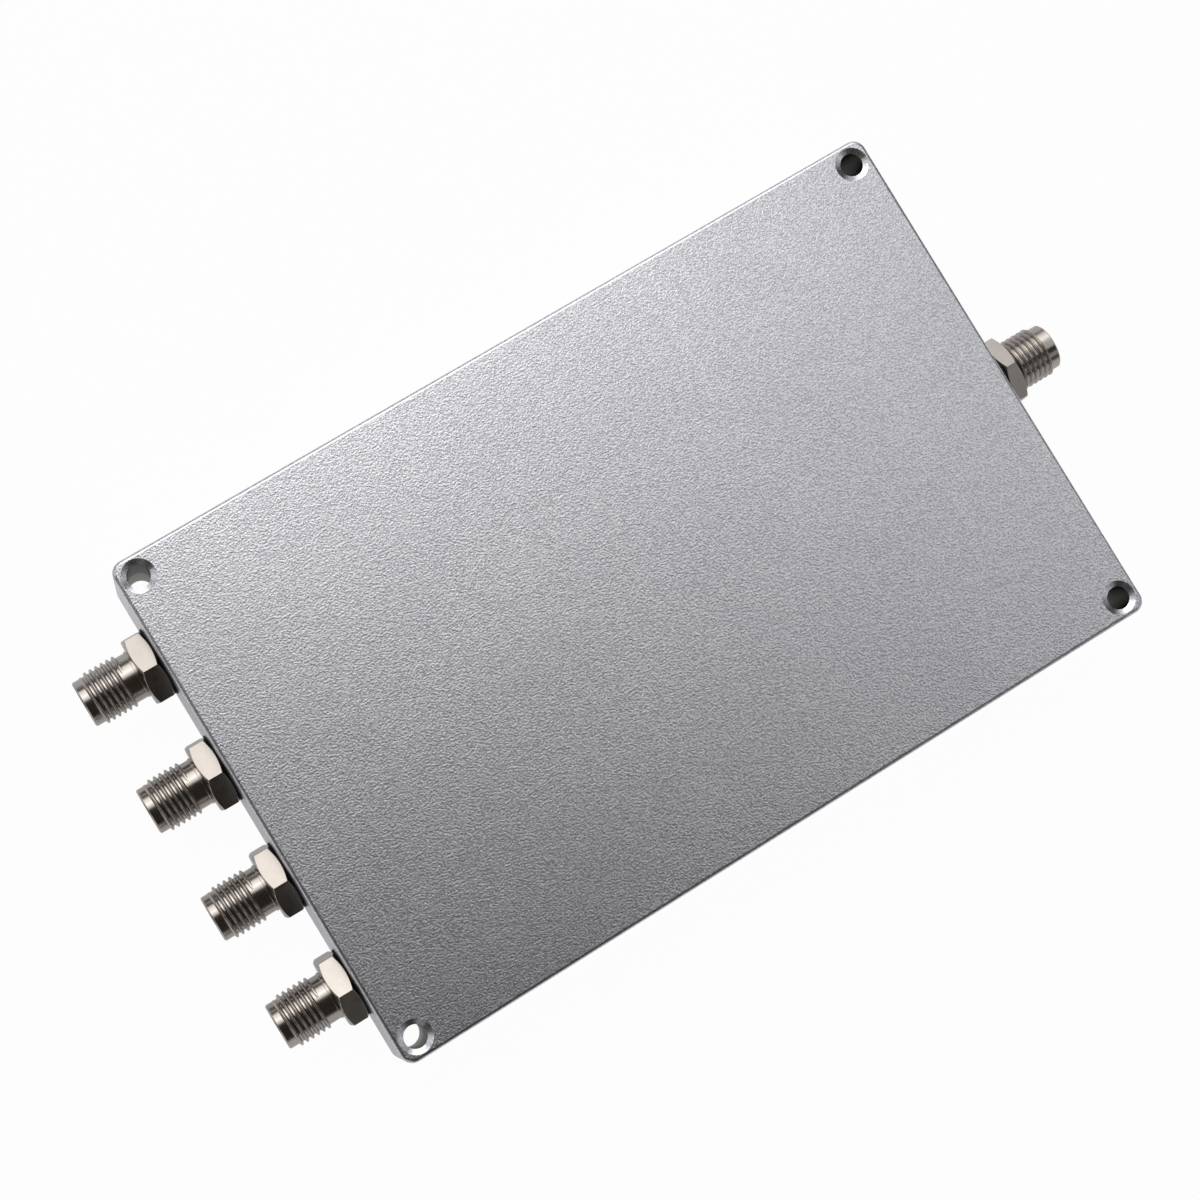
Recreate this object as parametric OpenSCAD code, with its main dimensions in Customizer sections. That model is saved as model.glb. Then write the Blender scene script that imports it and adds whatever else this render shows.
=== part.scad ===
// RF power splitter: a milled box with one input jack and four output jacks.
// Sizes in mm, +Z up, +X towards the input, origin at the middle of the bottom face.

/* [Body] */
// Length between the two walls that carry the jacks
body_length = 100; // [94:1:130]
// Width across the row of outputs
body_width = 64; // [58:1:90]
// Height from the bottom cover to the top face
body_height = 16; // [15:0.5:22]
// Radius of the four upright corners
corner_radius = 1.5; // [1:0.25:3]
// Radius of the rounded outer edges
edge_radius = 0.45; // [0.2:0.05:0.8]
// Thickness of the walls that carry the jacks
end_wall = 5; // [4.5:0.25:7]
// Thickness of the long walls
side_wall = 8; // [7:0.25:9]
// Radius left by the cutter in the corners of the pocket
pocket_radius = 3; // [2:0.5:5]

/* [Corner holes] */
// Distance from each corner hole to the two nearest sides
hole_inset = 2.5; // [2.25:0.05:3]
// Bore of the corner holes, clear of an M2.5 screw
hole_diameter = 2.7; // [2.2:0.1:3]
// Mouth of the countersink on the top face
countersink_diameter = 4; // [3.2:0.1:4.4]
// Depth of that countersink
countersink_depth = 0.3; // [0.2:0.05:1]
// Wider bore of the lower stretch of the corner holes
relief_diameter = 3.2; // [2.8:0.1:3.6]
// Height of that lower stretch
relief_height = 8.5; // [4:0.5:12]

/* [Bottom cover] */
// Thickness of the cover, let into the body
cover_thickness = 2; // [1.5:0.1:2.5]
// Body left standing past each short edge of the cover
cover_end_margin = 3; // [2.5:0.25:4]
// Body left standing past each long edge of the cover
cover_side_margin = 4; // [3.5:0.25:4.5]
// Radius of the corners of the cover
cover_radius = 4; // [3:0.5:6]
// Distance between neighbouring cover screws
cover_screw_pitch = 26; // [18:1:27]

/* [Jack positions] */
// Height of the axis of every jack above the bottom face
port_height = 8; // [7.5:0.25:9]
// Distance from the outermost outputs to the long sides
port_margin = 11; // [10.5:0.25:13]
// Turn of the hexagons of the outputs about their axis
output_turn = 52; // [0:1:59]
// Turn of the hexagon of the input about its axis
input_turn = 58; // [0:1:59]

/* [Jack shell] */
// Outside of the tail that screws into the wall
tail_diameter = 6.35; // [5.8:0.05:7]
// Length of the tail inside the wall
tail_length = 4; // [3:0.25:4]
// Distance across the flats of the hexagon
hex_flats = 8; // [7.5:0.1:9]
// Thickness of the hexagon
hex_thickness = 2.5; // [1.6:0.1:3]
// Round face left inside the bevels of the hexagon
hex_face = 7.9; // [6.8:0.1:8]
// Outside of the plain barrel that carries the thread
barrel_diameter = 5.6; // [5.4:0.05:5.9]
// Plain barrel between hexagon and thread
shoulder_length = 1.6; // [0.3:0.1:3]
// Outside of the coupling thread
thread_diameter = 6.35; // [6.1:0.05:6.8]
// Length of the coupling thread with its bevelled ends
thread_length = 4.5; // [3.5:0.1:7]
// Plain barrel in front of the thread
tip_length = 0.9; // [0.5:0.1:1.5]
// Bore of the socket in the front of the shell
socket_diameter = 4.6; // [4.4:0.05:4.8]
// Depth of the socket down to the insulator
socket_depth = 1.9; // [1.5:0.1:2.4]

/* [Jack inside] */
// Outside of the insulator
insulator_diameter = 4.1; // [3.6:0.05:4.2]
// Outside of the centre contact
contact_diameter = 1.27; // [1.2:0.01:1.4]
// Bore of the centre contact for the pin of the plug
contact_bore = 0.94; // [0.8:0.01:1]
// Depth of that bore
contact_bore_depth = 3; // [2:0.1:5]
// Width of the slots that make the contact springy
contact_slot = 0.15; // [0.1:0.01:0.18]
// Length of those slots
contact_slot_length = 2.2; // [1.5:0.1:2.5]
// Width of the flat tab that is soldered to the track
tab_width = 1.2; // [0.8:0.05:1.2]
// Thickness of that tab
tab_thickness = 0.3; // [0.2:0.05:0.3]
// Length of that tab over the board
tab_length = 2.8; // [2:0.1:4]

/* [Sealing washer] */
// Outside of the washer under the hexagon
washer_diameter = 8.4; // [7.1:0.1:9]
// Thickness of that washer
washer_thickness = 0.2; // [0.1:0.05:1]

/* [Input jack] */
// Thickness of the washer under the hexagon of the input
input_washer_thickness = 1.5; // [0.2:0.1:2]
// Thickness of the hexagon of the input
input_hex_thickness = 1.9; // [1.6:0.1:3]
// Plain barrel between hexagon and thread of the input
input_shoulder_length = 0.4; // [0.3:0.1:3]

/* [Circuit board] */
// Thickness of the laminate
board_thickness = 1.5; // [0.8:0.1:1.6]
// Thickness of the copper
copper_thickness = 0.07; // [0.05:0.01:0.2]
// Width of the lines that lead to the jacks
line_width = 3.4; // [2.6:0.1:3.4]
// Width of the two arms of each splitter ring
arm_width = 1.9; // [1.2:0.1:2.2]
// Radius of each splitter ring at the middle of its arms
ring_radius = 7; // [5:0.25:8]
// Line between the input jack and the first ring
feed_run = 8; // [7:0.5:9]
// Line before and after each bend
link_run = 8; // [6:0.5:8.5]
// Gap between the two arms, bridged by a resistor
arm_gap = 1.6; // [1.2:0.1:2]
// Length of a resistor across the gap
resistor_length = 3.2; // [2.6:0.1:4]
// Width of a resistor
resistor_width = 1.6; // [1.2:0.1:2]
// Height of a resistor
resistor_height = 0.6; // [0.4:0.05:1]
// Distance of the board screws from the edges and bends beside them
board_screw_margin = 5; // [4:0.25:6]

/* [Screws] */
// Outside of the screw threads
screw_diameter = 2; // [1.6:0.1:2.2]
// Outside of the screw heads
screw_head = 3.8; // [3.4:0.1:4]
// Height of the round heads on the board screws
pan_height = 1.3; // [1:0.1:1.6]
// Reach of a cover screw into the body
cover_screw_reach = 3.5; // [2.5:0.25:5]
// Reach of a board screw into the body
board_screw_reach = 3.5; // [2.5:0.25:4]
// Length of the cross recess in a screw head
recess_length = 2; // [1.6:0.1:2.4]
// Width of the arms of the cross recess
recess_width = 0.5; // [0.3:0.05:0.7]
// Depth of the cross recess
recess_depth = 0.6; // [0.4:0.05:0.8]

/* [Fits] */
// Gap all round between a turned piece and its hole
turned_gap = 0.03; // [0.02:0.01:0.08]
// Gap between the cover and the recess that it lies in
cover_gap = 0.1; // [0.05:0.01:0.2]
// Gap between the edge of the board and the pocket
board_gap = 0.3; // [0.2:0.05:0.5]
// Empty depth left below the end of a screw or a tail
end_gap = 0.5; // [0.3:0.05:0.6]

/* [Hidden] */
$fn = 64;

// Extra length of a cutting shape past the face that it opens
past = 1;
// Bevel on turned edges
turned_bevel = 0.15;
// Angle of the bevels on both faces of the hexagons
hex_bevel_angle = 30;

// Heights of the stack inside, from the tabs of the jacks up to the floor of the pocket
track_height = port_height + tab_thickness / 2;
board_height = track_height + copper_thickness;
floor_height = board_height + board_thickness;

pocket_length = body_length - 2 * end_wall;
pocket_width = body_width - 2 * side_wall;
board_length = pocket_length - 2 * board_gap;
board_width = pocket_width - 2 * board_gap;
cover_length = body_length - 2 * cover_end_margin;
cover_width = body_width - 2 * cover_side_margin;

// The track splits twice into two, and the outputs share the width between the two margins
output_count = 4;
port_pitch = (body_width - 2 * port_margin) / (output_count - 1);

// Cover screws stand in the middle of the ledge along each long wall
cover_screw_line = body_width / 2 - (cover_side_margin + side_wall) / 2;
head_cone = (screw_head - screw_diameter) / 2;

thread_bevel = (thread_diameter - barrel_diameter) / 2;

// Distances along a jack, outwards from the wall; the input has its own washer, hexagon and shoulder
function hex_start(input) = input ? input_washer_thickness : washer_thickness;
function hex_end(input) = hex_start(input) + (input ? input_hex_thickness : hex_thickness);
function thread_start(input) = hex_end(input) + (input ? input_shoulder_length : shoulder_length);
function thread_end(input) = thread_start(input) + thread_length;
function jack_end(input) = thread_end(input) + tip_length;
function reference_plane(input) = jack_end(input) - socket_depth;

// Positions along the splitter track, from the input to the outputs
first_split = board_length / 2 - feed_run;
first_ring = first_split - ring_radius;
first_bend = first_ring - ring_radius - link_run;
second_split = first_bend - link_run;
second_ring = second_split - ring_radius;
second_bend = second_ring - ring_radius - link_run;
arm_end = (arm_gap + line_width) / 2;

// Board screws: two beside the feed, one between the second rings, three between the outputs
board_screw_places = [
    [board_length / 2 - board_screw_margin, board_width / 2 - board_screw_margin],
    [board_length / 2 - board_screw_margin, board_screw_margin - board_width / 2],
    [second_ring, 0],
    [second_bend - link_run - board_screw_margin, port_pitch],
    [second_bend - link_run - board_screw_margin, 0],
    [second_bend - link_run - board_screw_margin, -port_pitch]
];

// Shapes used by more than one piece

module rounded_outline(length, width, radius) {
    square([length - 2 * radius, width], center = true);
    square([length, width - 2 * radius], center = true);
    for (x = [-1, 1], y = [-1, 1])
        translate([x * (length / 2 - radius), y * (width / 2 - radius)])
            circle(r = radius);
}

// Upright section from the middle out to one side, both outer edges rounded
module edge_section(reach, height, edge) {
    square([reach - edge, height]);
    translate([0, edge])
        square([reach, height - 2 * edge]);
    for (z = [edge, height - edge])
        translate([reach - edge, z])
            circle(r = edge);
}

module both_sides() {
    children();
    mirror([1, 0])
        children();
}

module rounded_block(length, width, height, corner, edge) {
    rotate([90, 0, 90])
        linear_extrude(length - 2 * corner, center = true)
            both_sides()
                edge_section(width / 2, height, edge);
    rotate([90, 0, 0])
        linear_extrude(width - 2 * corner, center = true)
            both_sides()
                edge_section(length / 2, height, edge);
    for (x = [-1, 1], y = [-1, 1])
        translate([x * (length / 2 - corner), y * (width / 2 - corner), 0])
            rotate_extrude()
                edge_section(corner, height, edge);
}

module at_corner_holes() {
    for (x = [-1, 1], y = [-1, 1])
        translate([x * (body_length / 2 - hole_inset), y * (body_width / 2 - hole_inset), 0])
            children();
}

module at_cover_screws() {
    for (x = [-1.5, -0.5, 0.5, 1.5], y = [-1, 1])
        translate([x * cover_screw_pitch, y * cover_screw_line, 0])
            children();
}

module at_board_screws() {
    for (place = board_screw_places)
        translate([place.x, place.y, 0])
            children();
}

// Stands a jack on its wall: side 1 is the input wall, side -1 the output wall
module at_port(side, across) {
    translate([side * body_length / 2, across, port_height])
        rotate([0, side * 90, 0])
            children();
}

function output_place(number) = ((output_count + 1) / 2 - number) * port_pitch;

module at_every_port() {
    at_port(1, 0)
        children();
    for (number = [1:output_count])
        at_port(-1, output_place(number))
            children();
}

module cross_recess() {
    for (turn = [0, 90])
        rotate(turn)
            translate([-recess_length / 2, -recess_width / 2, -past])
                cube([recess_length, recess_width, recess_depth + past]);
}

// Body

module corner_hole() {
    translate([0, 0, -past])
        cylinder(d = hole_diameter, h = body_height + 2 * past);
    translate([0, 0, -past])
        cylinder(d = relief_diameter, h = relief_height + past);
    translate([0, 0, body_height - countersink_depth])
        cylinder(d1 = hole_diameter, d2 = countersink_diameter, h = countersink_depth);
    translate([0, 0, body_height])
        cylinder(d = countersink_diameter, h = past);
}

// Hole for the tail of a jack, narrower at its inner end where only the insulator passes
module jack_hole() {
    seat = tail_length + end_gap;
    translate([0, 0, -seat])
        cylinder(d = tail_diameter + 2 * turned_gap, h = seat + past);
    translate([0, 0, -end_wall - past])
        cylinder(d = insulator_diameter + 2 * turned_gap, h = end_wall + past);
}

module tapped_hole(bottom, depth) {
    translate([0, 0, bottom - past])
        cylinder(d = screw_diameter + 2 * turned_gap, h = depth + end_gap + past);
}

module housing() {
    color("silver")
        difference() {
            rounded_block(body_length, body_width, body_height, corner_radius, edge_radius);
            translate([0, 0, -past])
                linear_extrude(cover_thickness + past)
                    rounded_outline(
                        cover_length + 2 * cover_gap,
                        cover_width + 2 * cover_gap,
                        cover_radius + cover_gap
                    );
            linear_extrude(floor_height)
                rounded_outline(pocket_length, pocket_width, pocket_radius);
            at_corner_holes()
                corner_hole();
            at_every_port()
                jack_hole();
            at_cover_screws()
                tapped_hole(cover_thickness, cover_screw_reach);
            at_board_screws()
                tapped_hole(floor_height, board_screw_reach);
        }
}

module bottom_cover() {
    color("silver")
        difference() {
            linear_extrude(cover_thickness)
                rounded_outline(cover_length, cover_width, cover_radius);
            at_cover_screws() {
                translate([0, 0, -past])
                    cylinder(d = screw_head, h = past);
                cylinder(d1 = screw_head, d2 = screw_diameter, h = head_cone);
                cylinder(d = screw_diameter + 2 * turned_gap, h = cover_thickness + past);
            }
        }
}

module cover_screws() {
    color("dimgray")
        at_cover_screws()
            difference() {
                union() {
                    cylinder(d1 = screw_head, d2 = screw_diameter, h = head_cone);
                    cylinder(d = screw_diameter, h = cover_thickness + cover_screw_reach);
                }
                cross_recess();
            }
}

// Circuit

module circuit_board() {
    color("ivory")
        translate([0, 0, board_height])
            linear_extrude(board_thickness)
                difference() {
                    square([board_length, board_width], center = true);
                    for (place = board_screw_places)
                        translate(place)
                            circle(d = screw_diameter + 2 * cover_gap);
                    // Cutter radius of the pocket, cleared at the corners of the board
                    for (x = [-1, 1], y = [-1, 1])
                        translate([x * board_length / 2, y * board_width / 2])
                            rotate(45)
                                square(pocket_radius * sqrt(2), center = true);
                }
}

// Straight run of line between two points that lie along X or along Y
module line_bar(start, end) {
    size_x = abs(end.x - start.x);
    size_y = abs(end.y - start.y);
    translate((start + end) / 2)
        square([max(size_x, line_width), max(size_y, line_width)], center = true);
}

module line_path(points) {
    for (step = [1:len(points) - 1])
        line_bar(points[step - 1], points[step]);
    for (step = [1:len(points) - 2])
        translate(points[step])
            circle(d = line_width);
}

// Two arms round to the gap that a resistor bridges
module splitter_ring() {
    difference() {
        circle(r = ring_radius + arm_width / 2);
        circle(r = ring_radius - arm_width / 2);
        translate([-ring_radius, 0])
            square([2 * arm_width, arm_gap], center = true);
    }
}

module copper_track() {
    color("peru")
        translate([0, 0, track_height])
            linear_extrude(copper_thickness) {
                line_path([[board_length / 2, 0], [first_split, 0]]);
                translate([first_ring, 0])
                    splitter_ring();
                for (branch = [-1, 1]) {
                    line_path([
                        [first_ring - ring_radius + arm_width / 2, branch * arm_end],
                        [first_bend, branch * arm_end],
                        [first_bend, branch * port_pitch],
                        [second_split, branch * port_pitch]
                    ]);
                    translate([second_ring, branch * port_pitch])
                        splitter_ring();
                    for (side = [-1, 1])
                        line_path([
                            [second_ring - ring_radius + arm_width / 2,
                             branch * port_pitch + side * arm_end],
                            [second_bend, branch * port_pitch + side * arm_end],
                            [second_bend, branch * port_pitch + side * port_pitch / 2],
                            [-board_length / 2, branch * port_pitch + side * port_pitch / 2]
                        ]);
                }
            }
}

module board_screws() {
    color("dimgray")
        at_board_screws()
            difference() {
                union() {
                    translate([0, 0, board_height - pan_height])
                        cylinder(d = screw_head, h = pan_height);
                    translate([0, 0, board_height])
                        cylinder(d = screw_diameter, h = board_thickness + board_screw_reach);
                }
                translate([0, 0, board_height - pan_height])
                    cross_recess();
            }
}

module isolation_resistor(ring_x, across) {
    color("black")
        translate([ring_x - ring_radius - resistor_width, across, track_height - resistor_height / 2])
            cube([resistor_width, resistor_length, resistor_height], center = true);
}

// Jacks, drawn outwards along +Z from the face of their wall

module hexagon(input) {
    face = hex_face / 2;
    corner = hex_flats / 2 / cos(30);
    bevel = (corner - face) * tan(hex_bevel_angle);
    thickness = hex_end(input) - hex_start(input);
    translate([0, 0, hex_start(input)])
        intersection() {
            rotate(input ? input_turn : output_turn)
                cylinder(r = corner, h = thickness, $fn = 6);
            rotate_extrude()
                polygon([
                    [0, 0],
                    [face, 0],
                    [corner, bevel],
                    [corner, thickness - bevel],
                    [face, thickness],
                    [0, thickness]
                ]);
        }
}

module thread_land(input) {
    barrel = barrel_diameter / 2;
    crest = thread_diameter / 2;
    rotate_extrude()
        polygon([
            [0, thread_start(input)],
            [barrel, thread_start(input)],
            [crest, thread_start(input) + thread_bevel],
            [crest, thread_end(input) - thread_bevel],
            [barrel, thread_end(input)],
            [0, thread_end(input)]
        ]);
}

module barrel(input) {
    radius = barrel_diameter / 2;
    rotate_extrude()
        polygon([
            [0, hex_start(input)],
            [radius, hex_start(input)],
            [radius, jack_end(input) - turned_bevel],
            [radius - turned_bevel, jack_end(input)],
            [0, jack_end(input)]
        ]);
}

module jack_shell(input) {
    color("lightgray")
        difference() {
            union() {
                translate([0, 0, -tail_length])
                    cylinder(d = tail_diameter, h = tail_length + hex_end(input));
                hexagon(input);
                barrel(input);
                thread_land(input);
            }
            translate([0, 0, -tail_length - past])
                cylinder(d = insulator_diameter + 2 * turned_gap, h = tail_length + jack_end(input) + 2 * past);
            translate([0, 0, reference_plane(input)])
                cylinder(d = socket_diameter, h = socket_depth + past);
            translate([0, 0, jack_end(input) - turned_bevel])
                cylinder(
                    d1 = socket_diameter,
                    d2 = socket_diameter + 2 * turned_bevel,
                    h = turned_bevel
                );
        }
}

module jack_insulator(input) {
    length = end_wall + reference_plane(input);
    color("white")
        translate([0, 0, -end_wall])
            difference() {
                cylinder(d = insulator_diameter, h = length);
                translate([0, 0, -past])
                    cylinder(d = contact_diameter + 2 * turned_gap, h = length + 2 * past);
            }
}

module jack_contact(input) {
    front = reference_plane(input);
    color("gold") {
        difference() {
            translate([0, 0, -end_wall])
                cylinder(d = contact_diameter, h = end_wall + front);
            translate([0, 0, front - contact_bore_depth])
                cylinder(d = contact_bore, h = contact_bore_depth + past);
            for (turn = [45, 135])
                rotate(turn)
                    translate([-contact_diameter, -contact_slot / 2, front - contact_slot_length])
                        cube([2 * contact_diameter, contact_slot, contact_slot_length + past]);
        }
        translate([-tab_thickness / 2, -tab_width / 2, -end_wall - tab_length])
            cube([tab_thickness, tab_width, tab_length + past]);
    }
}

module jack_washer(input) {
    color("black")
        difference() {
            cylinder(d = washer_diameter, h = hex_start(input));
            translate([0, 0, -past])
                cylinder(d = tail_diameter + 2 * turned_gap, h = hex_start(input) + 2 * past);
        }
}

housing();
bottom_cover();
cover_screws();
circuit_board();
copper_track();
board_screws();
isolation_resistor(first_ring, 0);  // isolation_resistor_1
isolation_resistor(second_ring, port_pitch);  // isolation_resistor_2
isolation_resistor(second_ring, -port_pitch);  // isolation_resistor_3

at_port(1, 0) jack_shell(true);  // input_shell
at_port(1, 0) jack_insulator(true);  // input_insulator
at_port(1, 0) jack_contact(true);  // input_contact
at_port(1, 0) jack_washer(true);  // input_washer

at_port(-1, output_place(1)) jack_shell(false);  // output_1_shell
at_port(-1, output_place(1)) jack_insulator(false);  // output_1_insulator
at_port(-1, output_place(1)) jack_contact(false);  // output_1_contact
at_port(-1, output_place(1)) jack_washer(false);  // output_1_washer

at_port(-1, output_place(2)) jack_shell(false);  // output_2_shell
at_port(-1, output_place(2)) jack_insulator(false);  // output_2_insulator
at_port(-1, output_place(2)) jack_contact(false);  // output_2_contact
at_port(-1, output_place(2)) jack_washer(false);  // output_2_washer

at_port(-1, output_place(3)) jack_shell(false);  // output_3_shell
at_port(-1, output_place(3)) jack_insulator(false);  // output_3_insulator
at_port(-1, output_place(3)) jack_contact(false);  // output_3_contact
at_port(-1, output_place(3)) jack_washer(false);  // output_3_washer

at_port(-1, output_place(4)) jack_shell(false);  // output_4_shell
at_port(-1, output_place(4)) jack_insulator(false);  // output_4_insulator
at_port(-1, output_place(4)) jack_contact(false);  // output_4_contact
at_port(-1, output_place(4)) jack_washer(false);  // output_4_washer
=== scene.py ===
import math

import bmesh
import bpy
from mathutils import Matrix, Vector


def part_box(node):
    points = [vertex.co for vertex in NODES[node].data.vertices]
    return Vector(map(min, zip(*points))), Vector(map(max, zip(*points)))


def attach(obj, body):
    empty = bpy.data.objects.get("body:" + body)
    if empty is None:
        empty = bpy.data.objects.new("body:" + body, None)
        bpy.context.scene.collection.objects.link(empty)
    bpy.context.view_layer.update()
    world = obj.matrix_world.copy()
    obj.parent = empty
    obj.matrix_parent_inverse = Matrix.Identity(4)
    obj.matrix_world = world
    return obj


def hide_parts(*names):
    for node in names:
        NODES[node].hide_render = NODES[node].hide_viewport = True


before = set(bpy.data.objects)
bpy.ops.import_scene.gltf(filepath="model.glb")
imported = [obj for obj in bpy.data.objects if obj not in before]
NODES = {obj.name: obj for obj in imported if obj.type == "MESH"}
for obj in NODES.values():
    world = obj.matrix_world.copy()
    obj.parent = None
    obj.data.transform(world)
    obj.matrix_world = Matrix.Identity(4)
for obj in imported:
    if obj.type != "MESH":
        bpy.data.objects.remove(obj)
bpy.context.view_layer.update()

# Housing
# One aluminium block, pocketed from below, drilled for five jacks and for a screw in each corner.
# It is bead blasted and anodised clear. Its upper edges and the cones of the holes are cut afterwards.
MM = 0.001


def linear(colour):
    """sRGB hex value as linear red, green, blue and alpha."""
    channels = [int(colour[at:at + 2], 16) / 255 for at in (1, 3, 5)]
    return [c / 12.92 if c <= 0.04045 else ((c + 0.055) / 1.055) ** 2.4 for c in channels] + [1.0]


def new_material(name):
    """Empty material and its node tree."""
    material = bpy.data.materials.new(name)
    material.use_nodes = True
    material.node_tree.nodes.clear()
    return material, material.node_tree


def add_node(tree, kind, settings={}, inputs={}):
    """Add a node with its settings; an input is a value or the socket that feeds it."""
    node = tree.nodes.new(kind)
    for name, value in settings.items():
        setattr(node, name, value)
    for key, value in inputs.items():
        if isinstance(value, bpy.types.NodeSocket):
            tree.links.new(value, node.inputs[key])
        else:
            node.inputs[key].default_value = value
    return node


# Blasted, clear anodised aluminium: pale grey with dents of about a tenth of a millimetre,
# which break the light into specks, and a faint cloudiness from the anodising bath. The specks are
# also painted into the colour, lighter on the raised dents, as painted glints over the real bump.
# The beads are finer than that, and the dents are drawn this coarse so that they show.
# The cut edges and cones are smoother, with faint rings from the tool. The bores below the cones carry
# painted shade: dark grey in the narrow bore, and a paler grey below its step, as painted light that
# comes up from the floor.
# Seen in one quarter of the box: the hole's middle and cone, the corner's middle and its edge round.
DENT = 0.11 * MM
DENT_DEPTH = 0.043 * MM
CLOUD = 14 * MM
HOLE_PLACE = (47.5 * MM, 29.5 * MM, 0)
CUT_RADIUS = 2.03 * MM
CORNER_PLACE = (48.5 * MM, 30.5 * MM, 0)
EDGE_START = 1.07 * MM
CUT_HEIGHT = 15.62 * MM
BORE_STEP = 8.5 * MM
TOOL_RING = 0.16 * MM
RING_SHARE = 0.12
CUT_ROUGHNESS = 0.28
blasted, tree = new_material("bead_blasted_anodised_aluminium")
place = add_node(tree, "ShaderNodeTexCoord").outputs["Object"]
dents = add_node(tree, "ShaderNodeTexNoise", inputs={
    "Vector": place, "Scale": 0.5 / DENT, "Detail": 1.0, "Roughness": 0.5,
})
clouds = add_node(tree, "ShaderNodeTexNoise", inputs={
    "Vector": place, "Scale": 1 / CLOUD, "Detail": 3.0, "Roughness": 0.5,
})
specks = add_node(tree, "ShaderNodeMapRange", inputs={
    "Value": dents.outputs["Fac"], "From Min": 0.3, "From Max": 0.7,
})
# Painted glints: the colour is lighter on the raised dents and darker in their hollows, over the real
# bump.
glint_painted_speckle = add_node(tree, "ShaderNodeMix", {"data_type": "RGBA"}, {
    0: specks.outputs["Result"], 6: linear("#C2C4CC"), 7: linear("#F8F9FF"),
})
clouded = add_node(tree, "ShaderNodeMix", {"data_type": "RGBA", "blend_type": "MULTIPLY"}, {
    0: clouds.outputs["Fac"], 6: glint_painted_speckle.outputs[2], 7: linear("#F2F2F4"),
})
matt = add_node(tree, "ShaderNodeMapRange", inputs={
    "Value": dents.outputs["Fac"], "To Min": 0.28, "To Max": 0.36,
})
quarter = add_node(tree, "ShaderNodeVectorMath", {"operation": "ABSOLUTE"}, {0: place})
from_hole = add_node(tree, "ShaderNodeVectorMath", {"operation": "SUBTRACT"}, {
    0: quarter.outputs["Vector"], 1: HOLE_PLACE,
})
across_hole = add_node(tree, "ShaderNodeVectorMath", {"operation": "MULTIPLY"}, {
    0: from_hole.outputs["Vector"], 1: (1, 1, 0),
})
reach = add_node(tree, "ShaderNodeVectorMath", {"operation": "LENGTH"}, {
    0: across_hole.outputs["Vector"],
})
hole = add_node(tree, "ShaderNodeMath", {"operation": "LESS_THAN"}, {
    0: reach.outputs["Value"], 1: CUT_RADIUS,
})
from_corner = add_node(tree, "ShaderNodeVectorMath", {"operation": "SUBTRACT"}, {
    0: quarter.outputs["Vector"], 1: CORNER_PLACE,
})
beyond = add_node(tree, "ShaderNodeVectorMath", {"operation": "MAXIMUM"}, {
    0: from_corner.outputs["Vector"],
})
outwards = add_node(tree, "ShaderNodeVectorMath", {"operation": "MULTIPLY"}, {
    0: beyond.outputs["Vector"], 1: (1, 1, 0),
})
overhang = add_node(tree, "ShaderNodeVectorMath", {"operation": "LENGTH"}, {
    0: outwards.outputs["Vector"],
})
rim = add_node(tree, "ShaderNodeMath", {"operation": "GREATER_THAN"}, {
    0: overhang.outputs["Value"], 1: EDGE_START,
})
height = add_node(tree, "ShaderNodeSeparateXYZ", inputs={0: place}).outputs["Z"]
high = add_node(tree, "ShaderNodeMath", {"operation": "GREATER_THAN"}, {0: height, 1: CUT_HEIGHT})
worked = add_node(tree, "ShaderNodeMath", {"operation": "MAXIMUM"}, {
    0: hole.outputs["Value"], 1: rim.outputs["Value"],
})
cut = add_node(tree, "ShaderNodeMath", {"operation": "MULTIPLY"}, {
    0: worked.outputs["Value"], 1: high.outputs["Value"],
})
bore = add_node(tree, "ShaderNodeMath", {"operation": "GREATER_THAN"}, {
    0: hole.outputs["Value"], 1: high.outputs["Value"],
})
# Painted shade in the bores: darker in the narrow bore above the step, paler below it as painted light
# from the floor.
narrow = add_node(tree, "ShaderNodeMath", {"operation": "GREATER_THAN"}, {0: height, 1: BORE_STEP})
bore_painted_shade = add_node(tree, "ShaderNodeMix", {"data_type": "RGBA"}, {
    0: narrow.outputs["Value"], 6: linear("#8E8D89"), 7: linear("#565552"),
})
colour = add_node(tree, "ShaderNodeMix", {"data_type": "RGBA"}, {
    0: bore.outputs["Value"], 6: clouded.outputs[2], 7: bore_painted_shade.outputs[2],
})
# A wave texture of scale 1 repeats every tau / 20, so this scale gives the pitch of the rings.
rings = add_node(tree, "ShaderNodeTexWave", {"wave_type": "RINGS", "rings_direction": "SPHERICAL"}, {
    "Vector": across_hole.outputs["Vector"], "Scale": math.tau / 20 / TOOL_RING, "Distortion": 0.5,
})
faint = add_node(tree, "ShaderNodeMath", {"operation": "MULTIPLY"}, {
    0: rings.outputs["Fac"], 1: RING_SHARE,
})
relief = add_node(tree, "ShaderNodeMix", {"data_type": "FLOAT"}, {
    0: cut.outputs["Value"], 2: dents.outputs["Fac"], 3: faint.outputs["Value"],
})
finish = add_node(tree, "ShaderNodeMix", {"data_type": "FLOAT"}, {
    0: cut.outputs["Value"], 2: matt.outputs["Result"], 3: CUT_ROUGHNESS,
})
dented = add_node(tree, "ShaderNodeBump", inputs={
    "Height": relief.outputs[0], "Strength": 0.7, "Distance": DENT_DEPTH,
})
skin = add_node(tree, "ShaderNodeBsdfPrincipled", inputs={
    "Base Color": colour.outputs[2], "Metallic": 1.0, "Roughness": finish.outputs[0],
    "Normal": dented.outputs["Normal"],
})
add_node(tree, "ShaderNodeOutputMaterial", inputs={"Surface": skin.outputs["BSDF"]})


def dress(node, material):
    """Give a CAD node its finish."""
    NODES[node].data.materials.clear()
    NODES[node].data.materials.append(material)


dress("housing", blasted)

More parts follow.
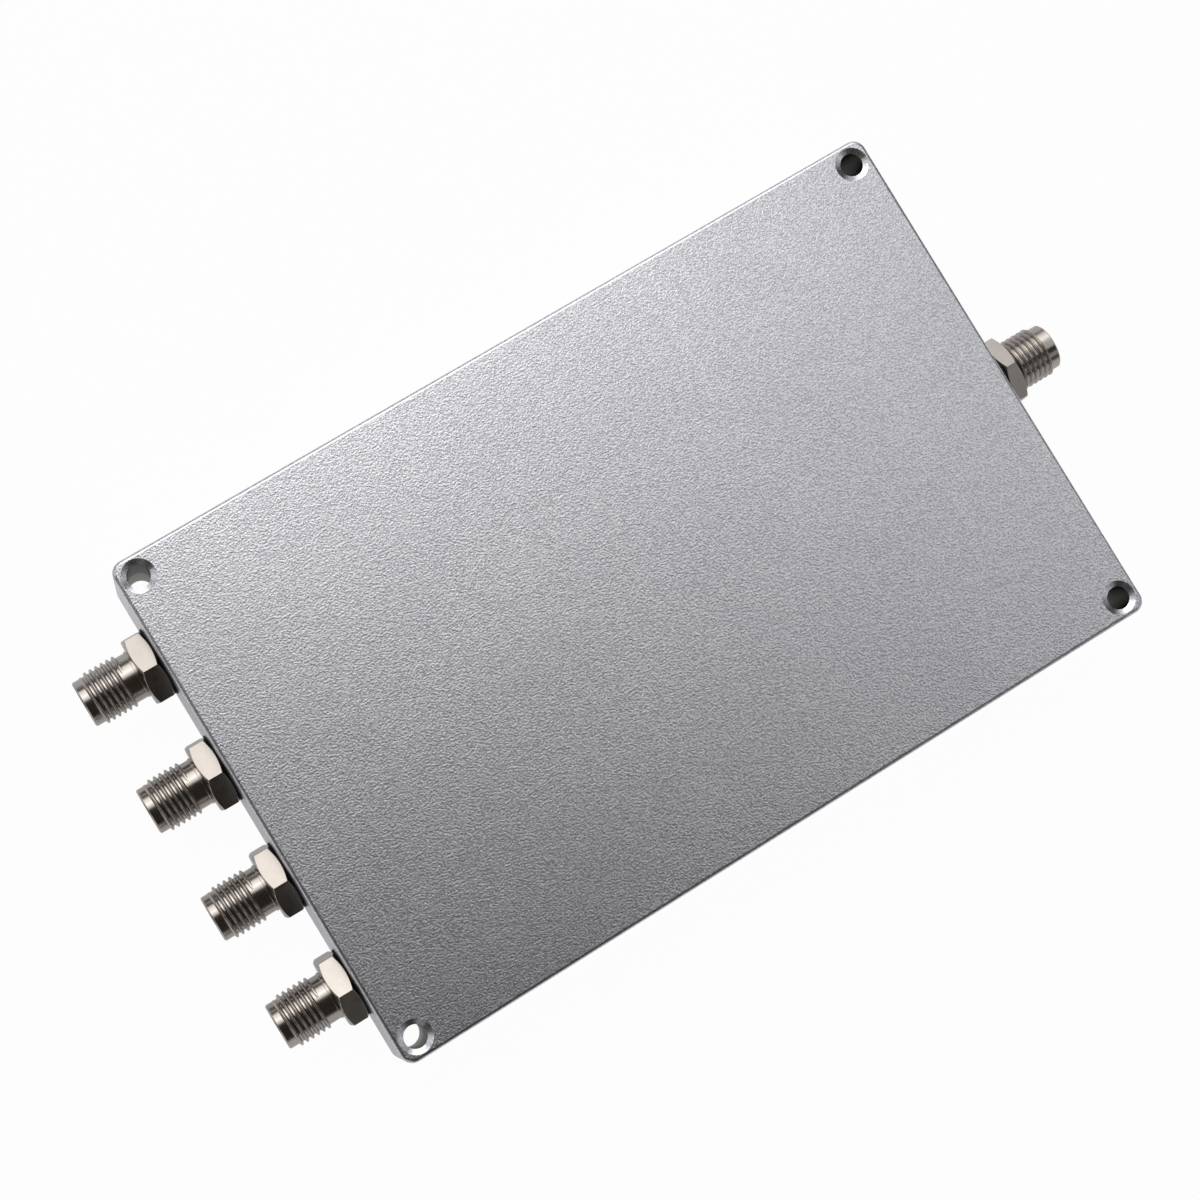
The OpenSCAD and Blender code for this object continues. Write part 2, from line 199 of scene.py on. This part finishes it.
# Circuit board
# Glass cloth laminate, cut from a sheet, with its ground side against the floor of the pocket.
# Six screws hold it.
# Woven laminate: cream resin over a plain weave whose threads show as a fine check.
THREAD = 0.4 * MM
laminate, tree = new_material("glass_cloth_laminate")
place = add_node(tree, "ShaderNodeTexCoord").outputs["Object"]
weave = []
for direction in ("X", "Y"):
    weave.append(add_node(tree, "ShaderNodeTexWave", {"bands_direction": direction}, {
        "Vector": place, "Scale": math.tau / 20 / THREAD, "Distortion": 0.4, "Detail": 1.0,
    }).outputs["Fac"])
cloth = add_node(tree, "ShaderNodeMath", {"operation": "MULTIPLY"}, {0: weave[0], 1: weave[1]})
resin = add_node(tree, "ShaderNodeMix", {"data_type": "RGBA"}, {
    0: cloth.outputs["Value"], 6: linear("#C9BE98"), 7: linear("#E2D9B8"),
})
woven = add_node(tree, "ShaderNodeBump", inputs={
    "Height": cloth.outputs["Value"], "Strength": 0.2, "Distance": 0.03 * MM,
})
skin = add_node(tree, "ShaderNodeBsdfPrincipled", inputs={
    "Base Color": resin.outputs[2], "Roughness": 0.45, "Normal": woven.outputs["Normal"],
})
add_node(tree, "ShaderNodeOutputMaterial", inputs={"Surface": skin.outputs["BSDF"]})
dress("circuit_board", laminate)

# Copper track
# Two stages of splitter rings and the lines to the jacks, etched from the copper skin of the board.
# Etched copper: rolled, slightly grained and browned in patches where it has been handled.
PATCH = 6 * MM
ROLLED = 0.2 * MM
copper, tree = new_material("etched_copper")
place = add_node(tree, "ShaderNodeTexCoord").outputs["Object"]
patches = add_node(tree, "ShaderNodeTexNoise", inputs={
    "Vector": place, "Scale": 1 / PATCH, "Detail": 4.0,
})
rolled = add_node(tree, "ShaderNodeTexNoise", inputs={
    "Vector": place, "Scale": 1 / ROLLED, "Detail": 2.0,
})
browned = add_node(tree, "ShaderNodeMix", {"data_type": "RGBA"}, {
    0: patches.outputs["Fac"], 6: linear("#C98A63"), 7: linear("#A8683F"),
})
grained = add_node(tree, "ShaderNodeBump", inputs={
    "Height": rolled.outputs["Fac"], "Strength": 0.15, "Distance": 0.01 * MM,
})
dulled = add_node(tree, "ShaderNodeMapRange", inputs={
    "Value": patches.outputs["Fac"], "To Min": 0.25, "To Max": 0.45,
})
skin = add_node(tree, "ShaderNodeBsdfPrincipled", inputs={
    "Base Color": browned.outputs[2], "Metallic": 1.0, "Roughness": dulled.outputs["Result"],
    "Normal": grained.outputs["Normal"],
})
add_node(tree, "ShaderNodeOutputMaterial", inputs={"Surface": skin.outputs["BSDF"]})
dress("copper_track", copper)

# Isolation resistors
# Three chip resistors, each soldered across the gap of a splitter ring.
# A white ceramic bar carries a black glazed film and has a tinned cap wrapped round each end.
CAP_LENGTH = 0.5 * MM
SKIN = 0.04 * MM
CHIP_EDGE = 0.05 * MM
SPECK = 0.15 * MM
MERGE = 0.0005 * MM


def plain_skin(name, light, dark, grain, roughness, metallic, depth):
    """Material with an even fine grain: two shades, and dents of the given depth."""
    material, tree = new_material(name)
    place = add_node(tree, "ShaderNodeTexCoord").outputs["Object"]
    noise = add_node(tree, "ShaderNodeTexNoise", inputs={
        "Vector": place, "Scale": 0.5 / grain, "Detail": 3.0,
    })
    shade = add_node(tree, "ShaderNodeMix", {"data_type": "RGBA"}, {
        0: noise.outputs["Fac"], 6: linear(dark), 7: linear(light),
    })
    finish = add_node(tree, "ShaderNodeMapRange", inputs={
        "Value": noise.outputs["Fac"], "To Min": roughness - 0.06, "To Max": roughness + 0.06,
    })
    dents = add_node(tree, "ShaderNodeBump", inputs={
        "Height": noise.outputs["Fac"], "Strength": 0.3, "Distance": depth,
    })
    skin = add_node(tree, "ShaderNodeBsdfPrincipled", inputs={
        "Base Color": shade.outputs[2], "Metallic": metallic, "Roughness": finish.outputs["Result"],
        "Normal": dents.outputs["Normal"],
    })
    add_node(tree, "ShaderNodeOutputMaterial", inputs={"Surface": skin.outputs["BSDF"]})
    return material


# Fired alumina is chalk white and dull, the glaze over the film black and glossy, and dipped tin
# is a soft silver with a slightly rippled surface.
alumina = plain_skin("fired_alumina", "#EFEDE6", "#DEDBD2", SPECK, 0.6, 0.0, 0.005 * MM)
glaze = plain_skin("black_resistor_glaze", "#16171A", "#0C0D0F", SPECK, 0.2, 0.0, 0.002 * MM)
tin = plain_skin("dipped_tin", "#D5D4D0", "#BDBBB6", SPECK, 0.32, 1.0, 0.01 * MM)


def rounded_bar(bm, low, high, edge, material_index):
    """Box between two corners with rounded edges."""
    middle = (low + high) / 2
    matrix = Matrix.Translation(middle) @ Matrix.Diagonal((*(high - low), 1))
    corners = bmesh.ops.create_cube(bm, size=1, matrix=matrix)["verts"]
    edges = {side for corner in corners for side in corner.link_edges}
    rounded = bmesh.ops.bevel(
        bm, geom=list(edges), offset=edge, segments=3, profile=0.5, affect="EDGES", material=-1
    )
    faces = {face for corner in rounded["verts"] for face in corner.link_faces}
    for face in faces:
        face.material_index = material_index


def add_piece(bm, name, node, materials, crease=math.radians(35)):
    """Finished mesh as a smooth piece in place of a CAD node, with edges sharper than the crease kept."""
    bmesh.ops.remove_doubles(bm, verts=bm.verts, dist=MERGE)
    bmesh.ops.recalc_face_normals(bm, faces=bm.faces)
    for face in bm.faces:
        face.smooth = True
    for edge in bm.edges:
        edge.smooth = edge.calc_face_angle(math.pi) < crease
    mesh = bpy.data.meshes.new(name)
    bm.to_mesh(mesh)
    bm.free()
    for material in materials:
        mesh.materials.append(material)
    piece = bpy.data.objects.new(name, mesh)
    bpy.context.scene.collection.objects.link(piece)
    weighting = piece.modifiers.new("flat_faces_stay_flat", "WEIGHTED_NORMAL")
    weighting.keep_sharp = True
    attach(piece, "root")
    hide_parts(node)
    return piece


for number in (1, 2, 3):
    low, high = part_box(f"isolation_resistor_{number}")
    bm = bmesh.new()
    inset = Vector((SKIN, SKIN, SKIN))
    rounded_bar(bm, low + inset, high - inset, CHIP_EDGE, 0)
    film_low = Vector((low.x + 2 * SKIN, low.y + CAP_LENGTH, low.z + SKIN / 2))
    film_high = Vector((high.x - 2 * SKIN, high.y - CAP_LENGTH, low.z + 3 * SKIN))
    rounded_bar(bm, film_low, film_high, SKIN / 2, 1)
    rounded_bar(bm, low, Vector((high.x, low.y + CAP_LENGTH, high.z)), CHIP_EDGE, 2)
    rounded_bar(bm, Vector((low.x, high.y - CAP_LENGTH, low.z)), high, CHIP_EDGE, 2)
    finishes = [alumina, glaze, tin]
    add_piece(bm, f"chip_resistor_{number}", f"isolation_resistor_{number}", finishes)

# Board screws
# Six pan head screws with a cross recess hold the board against the floor of the pocket.
# Headed and rolled from stainless wire, with edges that the tumbling barrel has rounded.
TUMBLED = 0.06 * MM


def node_copy(node):
    """Merged copy of a CAD node's mesh."""
    bm = bmesh.new()
    bm.from_mesh(NODES[node].data)
    bmesh.ops.remove_doubles(bm, verts=bm.verts, dist=MERGE)
    return bm


def round_edges(bm, edges, radius):
    """Small round on the edges given."""
    bmesh.ops.bevel(
        bm, geom=edges, offset=radius, segments=2, profile=0.5, affect="EDGES", material=-1,
        clamp_overlap=True,
    )


def sharp_edges(bm, angle=math.radians(25)):
    """Edges where the surface turns by more than the angle."""
    return [edge for edge in bm.edges if edge.calc_face_angle(0) > angle]


# Tumbled stainless steel: even grey, satin, with faint marks.
steel = plain_skin("tumbled_stainless_steel", "#BEBDB9", "#9E9D99", SPECK, 0.3, 1.0, 0.006 * MM)
bm = node_copy("board_screws")
round_edges(bm, sharp_edges(bm), TUMBLED)
add_piece(bm, "board_screw_set", "board_screws", [steel])

# Jack washers
# A thin black washer lies under the hexagon of each jack, against the wall. Its black is painted
# shade: it fills the dark gap where shade falls between the hexagon and the wall.
# It is cut from sheet, so its rim is straight with a small round at both edges.
# Radii, and heights along the axis of a jack, are written in mm, here and in the sections below.
WALL = 50 * MM
PORT_HEIGHT = 8 * MM
OUTPUT_PITCH = 14 * MM
WASHER_OUTER = 4.2
WASHER_INNER = 3.205
WASHER_ROUND = 0.06
WASHER_GRAIN = 0.12 * MM

# Side of the body and place across it; where the hexagon and the thread start, from the wall
jacks = {"input": {"side": 1, "across": 0.0, "hex_start": 1.5, "hex_end": 3.4, "thread_start": 3.8}}
for number in (1, 2, 3, 4):
    jacks[f"output_{number}"] = {
        "side": -1, "across": (2.5 - number) * OUTPUT_PITCH,
        "hex_start": 0.2, "hex_end": 2.7, "thread_start": 4.3,
    }

# Near black, dull, with a fine pebbled skin; its black is painted shade for the gap between hexagon and
# wall.
washer_painted_black = plain_skin("black_washer_painted_shade", "#1D1C1B", "#0F0E0E", WASHER_GRAIN, 0.72, 0.0, 0.02 * MM)


def port(name):
    """Place of a jack: its axis, drawn upwards, then points outwards from the wall."""
    side = jacks[name]["side"]
    tipped = Matrix.Rotation(side * math.pi / 2, 4, "Y")
    return Matrix.Translation((side * WALL, jacks[name]["across"], PORT_HEIGHT)) @ tipped


def turn(bm, profile, closed, steps=96):
    """Spin a profile of radius and height pairs, in mm, about the jack's axis."""
    corners = [bm.verts.new((radius * MM, 0, height * MM)) for radius, height in profile]
    followers = corners[1:] + corners[:1] if closed else corners[1:]
    edges = [bm.edges.new(pair) for pair in zip(corners, followers)]
    bmesh.ops.spin(
        bm, geom=corners + edges, axis=(0, 0, 1), cent=(0, 0, 0), angle=math.tau, steps=steps,
        use_merge=True,
    )


for name, jack in jacks.items():
    thickness = jack["hex_start"]
    bm = bmesh.new()
    turn(bm, [
        (WASHER_INNER, 0.0),
        (WASHER_OUTER - WASHER_ROUND, 0.0),
        (WASHER_OUTER, WASHER_ROUND),
        (WASHER_OUTER, thickness - WASHER_ROUND),
        (WASHER_OUTER - WASHER_ROUND, thickness),
        (WASHER_INNER, thickness),
    ], closed=True)
    bm.transform(port(name))
    add_piece(bm, f"{name}_painted_shade_washer", f"{name}_washer", [washer_painted_black], math.radians(50))

# Jack shells
# Each shell is turned in one piece from hexagonal brass bar, threaded at both ends and nickel plated.
# The tail screws into the wall of the housing, and the front thread takes the nut of a plug.
PITCH = 25.4 / 36
CREST = 3.175
ROOT = 2.8
BORE = 2.08
SOCKET = 2.3
TAIL_END = -4.0
THREAD_LENGTH = 4.5
TIP_LENGTH = 0.9
SOCKET_DEPTH = 1.9
COLLAR = 2.92
COLLAR_LENGTH = 0.35
LIP = 0.15
HEX_ROUND = 0.1 * MM
SEAM = 0.05
RIDGE_BASE = 0.29
RIDGE_SHOULDER = 0.12
RIDGE_TOP = 0.06
CREST_ROUND = 0.07
RIDGE_SINK = 0.05
RUN_OUT = 0.25
THREAD_LEAD = 0.1
THREAD_STOP = 0.15
LEAST_RISE = 0.05
PLANE_SLACK = 0.0001 * MM
RING_STRETCH = 20
STAIN = 1.5 * MM


def turned_metal(name, light, dark, roughness, tool_mark, depth):
    """Metal turned about the X axis: fine rings, two shades and an uneven finish."""
    material, tree = new_material(name)
    place = add_node(tree, "ShaderNodeTexCoord").outputs["Object"]
    along_ring = RING_STRETCH * tool_mark
    rings = add_node(tree, "ShaderNodeMapping", inputs={
        "Vector": place, "Scale": (1 / tool_mark, 1 / along_ring, 1 / along_ring),
    })
    marks = add_node(tree, "ShaderNodeTexNoise", inputs={
        "Vector": rings.outputs["Vector"], "Scale": 0.5, "Detail": 2.0,
    })
    stains = add_node(tree, "ShaderNodeTexNoise", inputs={
        "Vector": place, "Scale": 1 / STAIN, "Detail": 4.0,
    })
    shade = add_node(tree, "ShaderNodeMix", {"data_type": "RGBA"}, {
        0: stains.outputs["Fac"], 6: linear(dark), 7: linear(light),
    })
    finish = add_node(tree, "ShaderNodeMapRange", inputs={
        "Value": stains.outputs["Fac"], "To Min": roughness - 0.04, "To Max": roughness + 0.04,
    })
    cut = add_node(tree, "ShaderNodeBump", inputs={
        "Height": marks.outputs["Fac"], "Strength": 0.2, "Distance": depth,
    })
    skin = add_node(tree, "ShaderNodeBsdfPrincipled", inputs={
        "Base Color": shade.outputs[2], "Metallic": 1.0, "Roughness": finish.outputs["Result"],
        "Normal": cut.outputs["Normal"],
    })
    add_node(tree, "ShaderNodeOutputMaterial", inputs={"Surface": skin.outputs["BSDF"]})
    return material


# Nickel over turned brass: bright and slightly warm, with fine rings left by the tool.
nickel = turned_metal("turned_nickel_plate", "#BDB7B2", "#A8A29D", 0.2, 0.07 * MM, 0.004 * MM)


def ring(bm, radius, height):
    """Edges of the circle with that radius at that height, in mm."""
    near = 0.004 * MM

    def on_circle(corner):
        return (
            abs(corner.co.z - height * MM) < near
            and abs(corner.co.xy.length - radius * MM) < near
        )

    return [edge for edge in bm.edges if all(on_circle(corner) for corner in edge.verts)]


def wind_thread(bm, start, end, steps_per_turn=48):
    """Right-hand ridge wound round the barrel between two heights, sinking into it at both ends."""
    foot = ROOT - RIDGE_SINK
    flank = [
        (foot, RIDGE_BASE),
        (CREST - CREST_ROUND, RIDGE_SHOULDER),
        (CREST - CREST_ROUND / 4, RIDGE_TOP),
    ]
    section = [(radius, -height) for radius, height in flank] + [(CREST, 0.0)] + flank[::-1]
    turns = (end - start) / PITCH
    steps = round(turns * steps_per_turn)
    corners = [bm.verts.new((radius * MM, 0, (start + height) * MM)) for radius, height in section]
    edges = [bm.edges.new(pair) for pair in zip(corners, corners[1:] + corners[:1])]
    bm.faces.new(corners)
    before = set(bm.verts) - set(corners)
    wound = bmesh.ops.spin(
        bm, geom=corners + edges, axis=(0, 0, 1), cent=(0, 0, 0), angle=math.tau * turns,
        steps=steps, dvec=(0, 0, (end - start) * MM / steps),
    )
    last = [item for item in wound["geom_last"] if isinstance(item, bmesh.types.BMEdge)]
    bmesh.ops.edgeloop_fill(bm, edges=last)
    for corner in set(bm.verts) - before:
        angle = math.atan2(corner.co.y, corner.co.x) / math.tau
        climbed = (corner.co.z / MM - start) / PITCH
        turned = round(climbed - angle) + angle
        rise = max(LEAST_RISE, min(1, turned / RUN_OUT, (turns - turned) / RUN_OUT))
        radius = corner.co.xy.length / MM
        lowered = foot + (radius - foot) * rise
        corner.co.x *= lowered / radius
        corner.co.y *= lowered / radius


def hexagon_edges(bm, back, front):
    """Sharp outer edges of the hexagon between its two faces."""
    slack = 0.01 * MM

    def on_hexagon(corner):
        outside = corner.co.xy.length > (CREST + SEAM) * MM
        return outside and back * MM - slack < corner.co.z < front * MM + slack

    return [edge for edge in sharp_edges(bm) if all(on_hexagon(corner) for corner in edge.verts)]


for name, jack in jacks.items():
    hex_start = jack["hex_start"]
    hex_end = jack["hex_end"]
    thread_start = jack["thread_start"]
    neck = hex_start - SEAM
    barrel_start = hex_end + 2 * SEAM
    collar_end = hex_end + COLLAR_LENGTH
    thread_end = thread_start + THREAD_LENGTH
    jack_end = thread_end + TIP_LENGTH
    socket_floor = jack_end - SOCKET_DEPTH
    bm = node_copy(f"{name}_shell")
    bm.transform(port(name).inverted())
    for height, outwards in ((neck, -1), (hex_end + SEAM, 1)):
        bmesh.ops.bisect_plane(
            bm, geom=bm.verts[:] + bm.edges[:] + bm.faces[:], dist=PLANE_SLACK,
            plane_co=(0, 0, height * MM), plane_no=(0, 0, outwards), clear_outer=True,
        )
    bmesh.ops.dissolve_limit(bm, angle_limit=math.radians(0.5), verts=bm.verts, edges=bm.edges)
    round_edges(bm, hexagon_edges(bm, hex_start, hex_end), HEX_ROUND)
    turn(bm, [
        (CREST, neck - SEAM),
        (ROOT, neck - 3 * SEAM),
        (ROOT, TAIL_END + LIP),
        (ROOT - LIP, TAIL_END),
        (BORE, TAIL_END),
        (BORE, neck - SEAM),
    ], closed=False)
    turn(bm, [
        (ROOT, barrel_start),
        (COLLAR, barrel_start),
        (COLLAR, collar_end - SEAM),
        (COLLAR - SEAM, collar_end),
        (ROOT, collar_end),
        (ROOT, jack_end - LIP),
        (ROOT - LIP, jack_end),
        (SOCKET + LIP, jack_end),
        (SOCKET, jack_end - LIP),
        (SOCKET, socket_floor),
        (BORE, socket_floor),
        (BORE, barrel_start),
    ], closed=False)
    for outside, below, above in ((CREST, neck - SEAM, neck), (ROOT, hex_end + SEAM, barrel_start)):
        for radius in (outside, BORE):
            bmesh.ops.bridge_loops(bm, edges=ring(bm, radius, below) + ring(bm, radius, above))
    wind_thread(bm, TAIL_END + RIDGE_BASE, -RIDGE_BASE)
    wind_thread(bm, thread_start - THREAD_LEAD, thread_end - THREAD_STOP)
    bm.transform(port(name))
    add_piece(bm, f"{name}_threaded_shell", f"{name}_shell", [nickel])

# Jack insulators
# A white sleeve in each shell centres the contact. It is turned from rod and pressed in.
# Turned fluorocarbon plastic: milky white, waxy and satin, with a faint mottle.
SLEEVE_OUTER = 2.05
SLEEVE_INNER = 0.665
SLEEVE_START = -5.0
SLEEVE_BEVEL = 0.08
WAX = 0.3 * MM
ptfe = plain_skin("turned_white_fluorocarbon", "#F2F1EC", "#E4E2DA", WAX, 0.42, 0.0, 0.008 * MM)
for name, jack in jacks.items():
    front = jack["thread_start"] + THREAD_LENGTH + TIP_LENGTH - SOCKET_DEPTH
    bm = bmesh.new()
    turn(bm, [
        (SLEEVE_INNER, SLEEVE_START),
        (SLEEVE_OUTER - SLEEVE_BEVEL, SLEEVE_START),
        (SLEEVE_OUTER, SLEEVE_START + SLEEVE_BEVEL),
        (SLEEVE_OUTER, front - SLEEVE_BEVEL),
        (SLEEVE_OUTER - SLEEVE_BEVEL, front),
        (SLEEVE_INNER + SLEEVE_BEVEL, front),
        (SLEEVE_INNER, front - SLEEVE_BEVEL),
    ], closed=True)
    bm.transform(port(name))
    add_piece(bm, f"{name}_white_sleeve", f"{name}_insulator", [ptfe])

# Jack contacts
# A slotted socket in front grips the pin of the plug, and a flat tab behind is soldered to the track.
# Turned from copper alloy and gold plated.
# Gold over turned metal: deep yellow and bright, with fine rings.
gold = turned_metal("turned_gold_plate", "#E3B65C", "#CF9C40", 0.18, 0.05 * MM, 0.003 * MM)
for name in jacks:
    dress(f"{name}_contact", gold)

# Bottom cover
# A plate milled to lie flush in the bottom of the housing, with a countersunk hole for each screw.
# It is blasted and anodised together with the housing.
dress("bottom_cover", blasted)

# Cover screws
# Eight countersunk screws with a cross recess hold the cover, of the same steel as the board screws.
bm = node_copy("cover_screws")
round_edges(bm, sharp_edges(bm), TUMBLED)
add_piece(bm, "cover_screw_set", "cover_screws", [steel])

# Floor and surround
# The part lies on a plain white floor in a white room. Their white is for what the camera sees
# directly and through glass, metal mirrors it dimmer, and the floor keeps a soft shadow.
FLOOR_RADIUS = 6.0
FLOOR_DROP = 0.2 * MM
FLOOR_GLOW = 0.97
SEEN_IN_METAL = 0.42


def white_seen(tree):
    """Socket that is 1 for rays from the camera and through glass, less for gloss, and 0 for the rest."""
    path = add_node(tree, "ShaderNodeLightPath").outputs
    direct = add_node(tree, "ShaderNodeMath", {"operation": "MULTIPLY_ADD"}, {
        0: path["Is Glossy Ray"], 1: SEEN_IN_METAL, 2: path["Is Camera Ray"],
    })
    seen = add_node(tree, "ShaderNodeMath", {"operation": "ADD", "use_clamp": True}, {
        0: direct.outputs["Value"], 1: path["Is Transmission Ray"],
    })
    return seen.outputs["Value"]


def stage_piece(bm, name, material):
    """Mesh that belongs to the studio and not to the part."""
    mesh = bpy.data.meshes.new(name)
    bm.to_mesh(mesh)
    bm.free()
    mesh.materials.append(material)
    piece = bpy.data.objects.new(name, mesh)
    bpy.context.scene.collection.objects.link(piece)
    return piece


white_floor, tree = new_material("white_floor")
glow = add_node(tree, "ShaderNodeMath", {"operation": "MULTIPLY"}, {
    0: white_seen(tree), 1: FLOOR_GLOW,
})
lit = add_node(tree, "ShaderNodeBsdfDiffuse", inputs={"Color": linear("#F4F4F4")})
bright = add_node(tree, "ShaderNodeEmission", inputs={"Color": linear("#FFFFFF"), "Strength": 1.0})
mixed = add_node(tree, "ShaderNodeMixShader", inputs={
    0: glow.outputs["Value"], 1: lit.outputs["BSDF"], 2: bright.outputs["Emission"],
})
add_node(tree, "ShaderNodeOutputMaterial", inputs={"Surface": mixed.outputs["Shader"]})
bm = bmesh.new()
bmesh.ops.create_circle(
    bm, cap_ends=True, segments=96, radius=FLOOR_RADIUS,
    matrix=Matrix.Translation((0, 0, -FLOOR_DROP)),
)
stage_piece(bm, "floor", white_floor)

scene = bpy.context.scene
scene.view_settings.view_transform = "Standard"
world = bpy.data.worlds.new("white_surround")
scene.world = world
world.use_nodes = True
tree = world.node_tree
tree.nodes.clear()
sky = add_node(tree, "ShaderNodeBackground", inputs={
    "Color": linear("#FFFFFF"), "Strength": white_seen(tree),
})
add_node(tree, "ShaderNodeOutputWorld", inputs={"Surface": sky.outputs["Background"]})

# Dark tent
# A dark cloth tent stands round the floor, as for a photograph of bright metal: it is what gives
# the polished jacks their deep tones. Its four corners are pale up to half its height, so that the
# flat faces stay light when they are seen from low down. The camera looks through it.
TENT_RADIUS = 1.6
TENT_FOOT = 2 * MM
PALE_HEIGHT = 0.5 * TENT_RADIUS
DARK_HEIGHT = 0.8 * TENT_RADIUS
CORNER_EDGE = 0.75
CORNER_CORE = 0.95
dark_cloth, tree = new_material("dark_tent_cloth")
place = add_node(tree, "ShaderNodeTexCoord").outputs["Object"]
spot = add_node(tree, "ShaderNodeSeparateXYZ", inputs={0: place}).outputs
bearing = add_node(tree, "ShaderNodeMath", {"operation": "ARCTAN2"}, {0: spot["Y"], 1: spot["X"]})
doubled = add_node(tree, "ShaderNodeMath", {"operation": "MULTIPLY"}, {
    0: bearing.outputs["Value"], 1: 2.0,
})
swing = add_node(tree, "ShaderNodeMath", {"operation": "SINE"}, {0: doubled.outputs["Value"]})
slant = add_node(tree, "ShaderNodeMath", {"operation": "ABSOLUTE"}, {0: swing.outputs["Value"]})
corner = add_node(tree, "ShaderNodeMapRange", {"interpolation_type": "SMOOTHSTEP"}, {
    "Value": slant.outputs["Value"], "From Min": CORNER_EDGE, "From Max": CORNER_CORE,
})
low = add_node(tree, "ShaderNodeMapRange", {"interpolation_type": "SMOOTHSTEP"}, {
    "Value": spot["Z"], "From Min": PALE_HEIGHT, "From Max": DARK_HEIGHT, "To Min": 1.0, "To Max": 0.0,
})
pale = add_node(tree, "ShaderNodeMath", {"operation": "MULTIPLY"}, {
    0: corner.outputs["Result"], 1: low.outputs["Result"],
})
shade = add_node(tree, "ShaderNodeMix", {"data_type": "RGBA"}, {
    0: pale.outputs["Value"], 6: linear("#322D28"), 7: linear("#B4B4B6"),
})
cloth = add_node(tree, "ShaderNodeEmission", inputs={"Color": shade.outputs[2], "Strength": 1.0})
add_node(tree, "ShaderNodeOutputMaterial", inputs={"Surface": cloth.outputs["Emission"]})
# It is mirrored but not searched for as a lamp, which saves render time.
dark_cloth.cycles.emission_sampling = "NONE"
bm = bmesh.new()
bmesh.ops.create_uvsphere(bm, u_segments=64, v_segments=32, radius=TENT_RADIUS)
bmesh.ops.bisect_plane(
    bm, geom=bm.verts[:] + bm.edges[:] + bm.faces[:], plane_co=(0, 0, TENT_FOOT), plane_no=(0, 0, -1),
    clear_outer=True,
)
tent = stage_piece(bm, "dark_tent", dark_cloth)
tent.visible_camera = False
tent.visible_shadow = False

# Lamps
# A softbox on the far long side gives the jacks their bright band and lights that edge of the top face
# most, and a panel beyond the input fills the rest. Low strips and panels all round draw the edges.
# Each lamp fades out towards its rim, so that the bands it draws on metal have soft ends.
TARGET = Vector((0, 0, 8 * MM))


def softbox(name, place, width, height, radiance, colour, core=0.9):
    """Rectangular lamp that faces the part and fades out between its core, a share of it, and its rim."""
    lamp = bpy.data.lights.new(name, "AREA")
    lamp.shape = "RECTANGLE"
    lamp.size = width
    lamp.size_y = height
    lamp.energy = radiance * math.pi * width * height
    lamp.color = linear(colour)[:3]
    lamp.use_nodes = True
    tree = lamp.node_tree
    tree.nodes.clear()
    spot = add_node(tree, "ShaderNodeNewGeometry").outputs["Parametric"]
    from_middle = add_node(tree, "ShaderNodeVectorMath", {"operation": "SUBTRACT"}, {
        0: spot, 1: (0.5, 0.5, 0),
    })
    reach = add_node(tree, "ShaderNodeVectorMath", {"operation": "LENGTH"}, {
        0: from_middle.outputs["Vector"],
    })
    fade = add_node(tree, "ShaderNodeMapRange", {"interpolation_type": "SMOOTHSTEP"}, {
        "Value": reach.outputs["Value"], "From Min": core / 2, "From Max": 0.5,
        "To Min": 1.0, "To Max": 0.0,
    })
    light = add_node(tree, "ShaderNodeEmission", inputs={"Strength": fade.outputs["Result"]})
    add_node(tree, "ShaderNodeOutputLight", inputs={"Surface": light.outputs["Emission"]})
    holder = bpy.data.objects.new(name, lamp)
    holder.location = place
    holder.rotation_euler = (Vector(place) - TARGET).to_track_quat("Z", "Y").to_euler()
    holder.visible_camera = False
    scene.collection.objects.link(holder)


softbox("key_softbox", (0.1, 0.405, 0.45), 0.9, 0.64, 1.95, "#FFFDFA", 0.34)
softbox("upper_softbox", (0.02, 0.225, 0.564), 0.5, 0.45, 1.6, "#FFFDFA", 0.3)
softbox("input_panel", (0.45, 0.03, 0.8), 0.58, 0.58, 0.72, "#FFFFFF")
softbox("far_low_strip", (0.0, 1.2, 0.17), 2.0, 0.3, 0.35, "#FFFFFF")
softbox("near_low_panel", (0.0, -1.2, 0.08), 2.4, 0.26, 0.4, "#FFFFFF", 0.2)
softbox("output_side_panel", (-1.2, 0.0, 0.3), 1.6, 0.5, 0.3, "#FFFFFF")
softbox("far_output_panel", (-0.68, 0.5, 0.84), 0.9, 0.8, 0.8, "#FFFFFF", 0.5)
softbox("far_input_panel", (0.42, 1.03, 0.46), 0.45, 0.34, 0.9, "#FFFFFF")
softbox("near_input_panel", (0.41, -0.92, 0.65), 0.5, 0.4, 0.28, "#FFFFFF")
softbox("input_side_panel", (0.92, -0.35, 0.66), 1.0, 0.6, 0.6, "#FFFFFF", 0.5)

# Camera
# It stands nearly above the output end, and the picture is turned so that the long sides climb to
# the right.
EYE = Vector((-62.644, -10.294, 325.387)) * MM
AIM = Vector((-4.765, 1.104, 16.0)) * MM
PICTURE_TURN = math.radians(31.634)
FOCAL_LENGTH = 84.0
SENSOR_WIDTH = 36.0
NEAREST = 10 * MM
camera_data = bpy.data.cameras.new("camera")
camera_data.lens = FOCAL_LENGTH
camera_data.sensor_width = SENSOR_WIDTH
camera_data.clip_start = NEAREST
camera = bpy.data.objects.new("camera", camera_data)
forward = (AIM - EYE).normalized()
upward = Vector((math.sin(PICTURE_TURN), math.cos(PICTURE_TURN), 0))
right = forward.cross(upward).normalized()
camera.matrix_world = Matrix.Translation(EYE) @ Matrix(
    (right, right.cross(forward), -forward)
).transposed().to_4x4()
scene.collection.objects.link(camera)
scene.camera = camera
